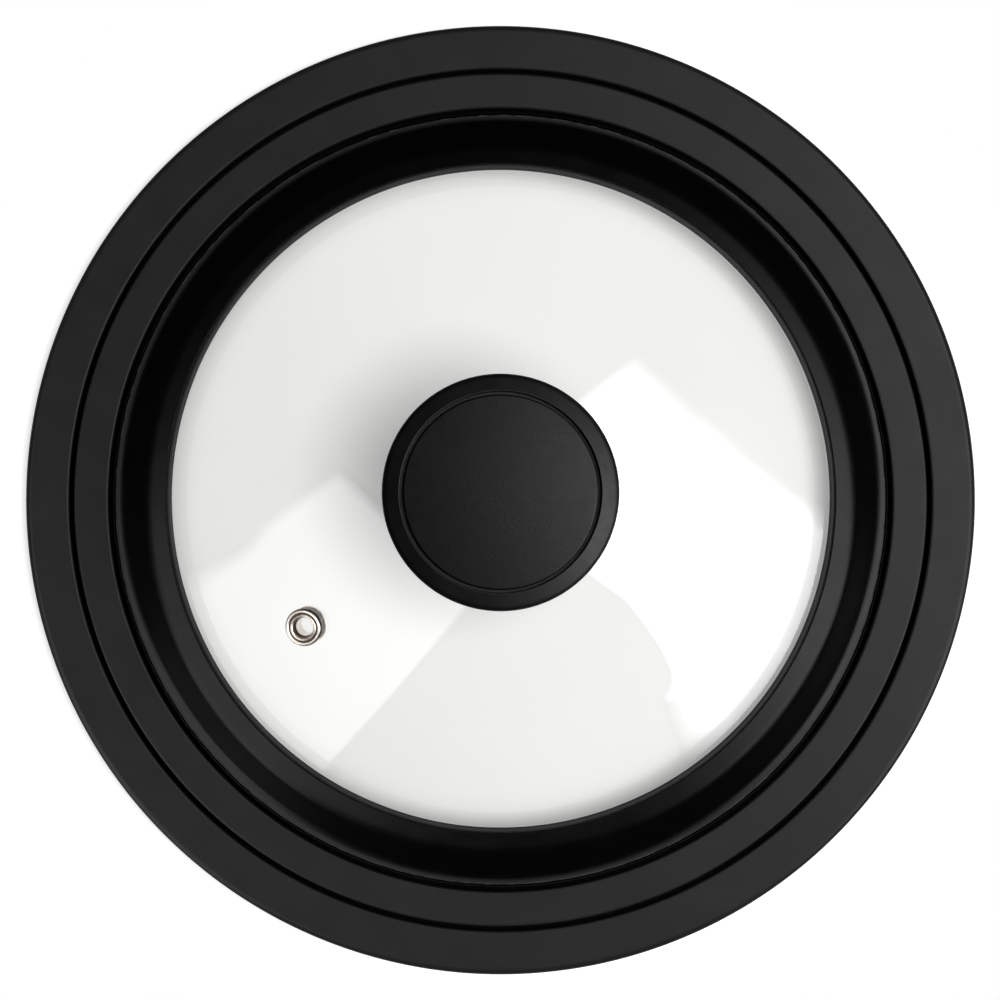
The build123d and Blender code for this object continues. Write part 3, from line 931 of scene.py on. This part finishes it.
def rim_silicone():
    """Black silicone: the top of the brim is a dark grey and the collar inside the inner groove a deep black.
    Below the brim's top, in the grooves, on the brim's edge and under it, the colour is painted deep black, a
    painted shade, and the surface is rougher. The bead at the lip is painted paler, a painted sheen. Smears
    and a fine grain lie over all of them."""
    material, tree, shader = new_material("rim_black_silicone")
    place = object_place(tree)
    distance = axis_distance(tree, place)
    outside = spread(tree, distance, 0, 1, collar_black_end * MM, (collar_black_end + collar_black_fade) * MM)
    bead = spread(tree, distance, 1, 0, bead_sheen_end * MM, (bead_sheen_end + bead_sheen_fade) * MM)
    height = coordinate(tree, place, "Z")
    levels = (painted_shade_and_rough_below * MM, (painted_shade_and_rough_below + painted_shade_and_rough_fade) * MM)
    # Painted shade: outside the collar, the colour below the brim's top stays a painted deep black.
    brim = calculated(tree, "MULTIPLY", outside, spread(tree, height, 0, 1, *levels))
    tone = spread(tree, noise(tree, place, size_mm=14, detail=4), 0, 1)
    colour = between(tree, tone, (0.0005, 0.0005, 0.0008), (0.0010, 0.0010, 0.0013))
    matt = between(tree, tone, (0.0130, 0.0130, 0.0134), (0.0150, 0.0150, 0.0154))
    # Painted sheen: the bead's paler colour.
    bead_painted_sheen = between(tree, tone, (0.026, 0.026, 0.026), (0.034, 0.034, 0.034))
    for share, finish in ((brim, matt), (bead, bead_painted_sheen)):
        colour = between(tree, share, colour, finish)
    smears = spread(tree, noise(tree, place, size_mm=6, detail=4), low=0.29, high=0.35)
    raw = spread(tree, height, raw_roughness, 0, *levels)
    rough = calculated(tree, "MULTIPLY_ADD", outside, raw, smears)
    grain = relief(tree, noise(tree, place, size_mm=0.16, detail=2), depth_mm=0.02, strength=0.12)
    feed(tree, shader, {"Base Color": colour, "Roughness": rough, "Normal": grain})
    feed(tree, shader, {"Specular IOR Level": 0.2})
    return material


rim = new_piece("rim_moulding", *rim_mesh(), rim_silicone())
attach(rim, "lid")
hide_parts("silicone_rim")

# Studio
# A white floor with lamps of its own, two large softboxes at the front on both sides, a round lamp for the
# vent and a camera almost straight above. Sizes here are in metres.
floor_radius = 0.13
floor_drop = 0.0001
floor_segments = 128
floor_white = 0.8
floor_tone = 0.005
# Painted light: the glow goes from the first value on the left to the second on the right, a painted pool of
# light.
floor_glow = (0.33, 0.44)
floor_glow_width = 0.1
# Painted light: for the camera alone, the floor is painted brighter from the start distance outwards, past
# the brim's edge, over the lid's shadow.
floor_ring_painted_light = 0.22
floor_ring_painted_start = 0.096
surround_light = 0.02
vent_lamp_size = 1.6
vent_lamp_height = 1.2
vent_lamp_radiance = 1.0
camera_distance = 1.3
camera_elevation = radians(88.41)
camera_view = radians(9.814)
camera_clip = 0.01
camera_target = Vector((-0.00012, -0.00023, brim_top * MM))


def seen_rays(tree, *names):
    """1 for rays of any of these kinds, and 0 for others."""
    rays = new_node(tree, "LightPath")
    value = rays[names[0]]
    for name in names[1:]:
        value = calculated(tree, "MAXIMUM", value, rays[name])
    return value


def floor_paper():
    """White paper lit from above, with a glow of its own: a diffuse sheet that takes shadows, and a glow that
    is painted a little stronger on the right, a painted pool of light, and, for the camera alone, painted
    brighter round the lid, which lightens the lid's shadow there. It isn't seen from below."""
    material, tree, shader = new_material("floor_paper")
    place = object_place(tree)
    tone = spread(tree, noise(tree, place, size_mm=60, detail=3), 0, 1)
    white = between(tree, tone, (floor_white - floor_tone,) * 3, (floor_white + floor_tone,) * 3)
    feed(tree, shader, {"Base Color": white, "Roughness": 1.0, "Specular IOR Level": 0.0})
    seen = seen_rays(tree, "Is Camera Ray", "Is Glossy Ray", "Is Transmission Ray")
    half = floor_glow_width / 2
    across = spread(tree, coordinate(tree, place, "X"), *floor_glow, -half, half)
    edge = spread(tree, axis_distance(tree, place), 0, floor_ring_painted_light, floor_ring_painted_start, brim_radius * MM)
    glow = calculated(tree, "MULTIPLY", seen, across)
    bright = calculated(tree, "MULTIPLY_ADD", seen_rays(tree, "Is Camera Ray"), edge, glow)
    feed(tree, shader, {"Emission Color": (1, 1, 1, 1), "Emission Strength": bright})
    below = new_node(tree, "NewGeometry")["Backfacing"]
    sheet = layered(tree, below, shader.outputs["BSDF"], new_node(tree, "BsdfTransparent")["BSDF"])
    feed(tree, tree.nodes["Material Output"], {"Surface": sheet})
    return material


floor_mesh = bpy.data.meshes.new("floor")
floor_outline = np.array(((floor_radius / MM, -floor_drop / MM),))
floor_edge = turned_grid(floor_outline, floor_segments)[0] * MM
floor_mesh.from_pydata(floor_edge.tolist(), [], [list(range(len(floor_edge)))])
floor_mesh.materials.append(floor_paper())
floor = bpy.data.objects.new("floor", floor_mesh)
bpy.context.scene.collection.objects.link(floor)


def lamp_group(name, state, *members):
    """A group for a lamp's light linking that takes in these objects alone, or leaves these alone out."""
    group = bpy.data.collections.new(name)
    for member in members:
        group.objects.link(member)
    for entry in group.collection_objects:
        entry.light_linking.link_state = state
    return group


vent_pieces = (vent_bush, vent_dish, vent_tube)
floor_alone = lamp_group("floor_alone", "INCLUDE", floor)
all_but_floor = lamp_group("all_but_floor", "EXCLUDE", floor)
all_but_knob = lamp_group("all_but_knob", "EXCLUDE", floor, knob, cap)
all_but_vent = lamp_group("all_but_vent", "EXCLUDE", *vent_pieces)
vent_alone = lamp_group("vent_alone", "INCLUDE", *vent_pieces)


def floor_lamp(name, turn, rise, width, strength):
    """An even light on the floor alone, from a round patch of sky at this turn and rise, all in degrees."""
    lamp = bpy.data.objects.new(name, bpy.data.lights.new(name, "SUN"))
    lamp.data.energy = strength
    lamp.data.angle = radians(width)
    sideways = cos(radians(rise))
    source = Vector((sideways * cos(radians(turn)), sideways * sin(radians(turn)), sin(radians(rise))))
    lamp.rotation_euler = source.to_track_quat("Z", "Y").to_euler()
    lamp.light_linking.receiver_collection = floor_alone
    lamp.light_linking.blocker_collection = all_but_vent
    bpy.context.scene.collection.objects.link(lamp)


floor_lamp("floor_lamp_above", turn=-21, rise=79.5, width=22, strength=2.07)
floor_lamp("floor_lamp_right", turn=-8, rise=58, width=36, strength=0.30)
floor_lamp("floor_lamp_left", turn=216, rise=40, width=40, strength=0.35)


def softbox_glow(name, radiance, mirrored):
    """White light, as strong as the share that the sheet's own attribute gives. A clear reflection shows the
    brighter face of the lamp behind its cloth."""
    material, tree = new_material(name)[:2]
    tree.nodes.clear()
    share = new_node(tree, "Attribute", attribute_name="share")["Fac"]
    face = spread(tree, seen_rays(tree, "Is Singular Ray"), radiance, mirrored, 0, 1)
    light = new_node(tree, "Emission", {"Strength": calculated(tree, "MULTIPLY", share, face)})["Emission"]
    new_node(tree, "OutputMaterial", {"Surface": light})
    return material


def softbox(name, centre, facing, long_side, outline, outside, radiance, mirrored, receivers):
    """A flat sheet of light on the lid. Each corner of its outline is its way along the sheet's short side
    and along its long side from the centre, and the width over which the light fades out there. The fade
    runs between the outline moved out by a share of that width and the outline moved in by the rest."""
    back = -Vector(facing).normalized()
    tall = Vector(long_side).normalized()
    wide = tall.cross(back)
    corners = np.array(outline)
    edges = unit(np.roll(corners[:, :2], -1, axis=0) - corners[:, :2])
    inward = np.stack((-edges[:, 1], edges[:, 0]), axis=-1)
    before = np.roll(inward, 1, axis=0)
    mitre = (before + inward) / (1 + (before * inward).sum(axis=1, keepdims=True)) * corners[:, 2:]
    outer = corners[:, :2] - outside * mitre
    inner = corners[:, :2] + (1 - outside) * mitre
    places = np.array(centre) + np.concatenate((outer, inner)) @ np.array((wide, tall))
    count = len(corners)
    edge, face = np.arange(2 * count).reshape(2, count)
    mesh = bpy.data.meshes.new(name)
    mesh.from_pydata(places.tolist(), [], [face.tolist(), *quads(edge, face).tolist()])
    mesh.attributes.new("share", "FLOAT", "POINT").data.foreach_set("value", [0.0] * count + [1.0] * count)
    mesh.materials.append(softbox_glow(name, radiance, mirrored))
    lamp = bpy.data.objects.new(name, mesh)
    lamp.visible_camera = False
    lamp.visible_shadow = False
    lamp.light_linking.receiver_collection = receivers
    bpy.context.scene.collection.objects.link(lamp)


softbox("softbox_right", centre=(0.531, -0.047, 0.862), facing=(-0.537, 0.490, -0.687),
        long_side=(0.322, -0.634, -0.704), outline=[
    (0.360, -0.735, 0.160), (0.360, -0.178, 0.020), (0.323, -0.062, 0.020), (0.306, -0.009, 0.020),
    (0.272, 0.082, 0.020), (0.262, 0.178, 0.020), (0.259, 0.255, 0.020), (0.263, 0.318, 0.020),
    (0.273, 0.352, 0.020), (0.295, 0.376, 0.020), (0.318, 0.387, 0.020), (0.315, 0.475, 0.160),
    (0.320, 0.700, 0.300), (-0.400, 0.700, 0.020), (-0.400, 0.450, 0.030), (-0.345, 0.200, 0.100),
    (-0.319, 0.024, 0.140), (-0.331, -0.229, 0.200), (-0.351, -0.458, 0.260), (-0.393, -0.743, 0.220),
], outside=0.13, radiance=4.1, mirrored=7.5, receivers=all_but_floor)
softbox("softbox_left", centre=(-0.642, -0.473, 0.538), facing=(0.394, 0.601, -0.696),
        long_side=(-0.4616, -0.5256, -0.7148), outline=[
    (0.340, -0.739, 0.060), (0.345, -0.400, 0.060), (0.318, -0.311, 0.060), (0.367, -0.091, 0.090),
    (0.367, 0.695, 0.090), (-0.270, 0.695, 0.012), (-0.270, -0.012, 0.012), (-0.286, -0.331, 0.012),
    (-0.307, -0.727, 0.030),
], outside=0.4, radiance=2.4, mirrored=2.4, receivers=all_but_knob)

vent_lamp = bpy.data.objects.new("vent_lamp", bpy.data.lights.new("vent_lamp", "AREA"))
vent_lamp.data.shape = "DISK"
vent_lamp.data.size = vent_lamp_size
vent_lamp.data.energy = vent_lamp_radiance * pi * pi * vent_lamp_size**2 / 4
vent_lamp.location = (0, 0, vent_lamp_height)
vent_lamp.visible_camera = False
vent_lamp.light_linking.receiver_collection = vent_alone
bpy.context.scene.collection.objects.link(vent_lamp)

world = bpy.data.worlds.new("studio")
world.use_nodes = True
world_tree = world.node_tree
world_seen = seen_rays(world_tree, "Is Camera Ray", "Is Transmission Ray")
world_strength = spread(world_tree, world_seen, surround_light, 1.0, 0.0, 1.0)
feed(world_tree, world_tree.nodes["Background"], {"Color": (1, 1, 1, 1), "Strength": world_strength})
bpy.context.scene.world = world

camera_data = bpy.data.cameras.new("camera")
camera_data.angle = camera_view
camera_data.clip_start = camera_clip
camera = bpy.data.objects.new("camera", camera_data)
away = Vector((0, -cos(camera_elevation), sin(camera_elevation)))
camera.location = camera_target + camera_distance * away
camera.rotation_euler = (-away).to_track_quat("-Z", "Y").to_euler()
bpy.context.scene.collection.objects.link(camera)
bpy.context.scene.camera = camera
bpy.context.scene.view_settings.view_transform = "Standard"
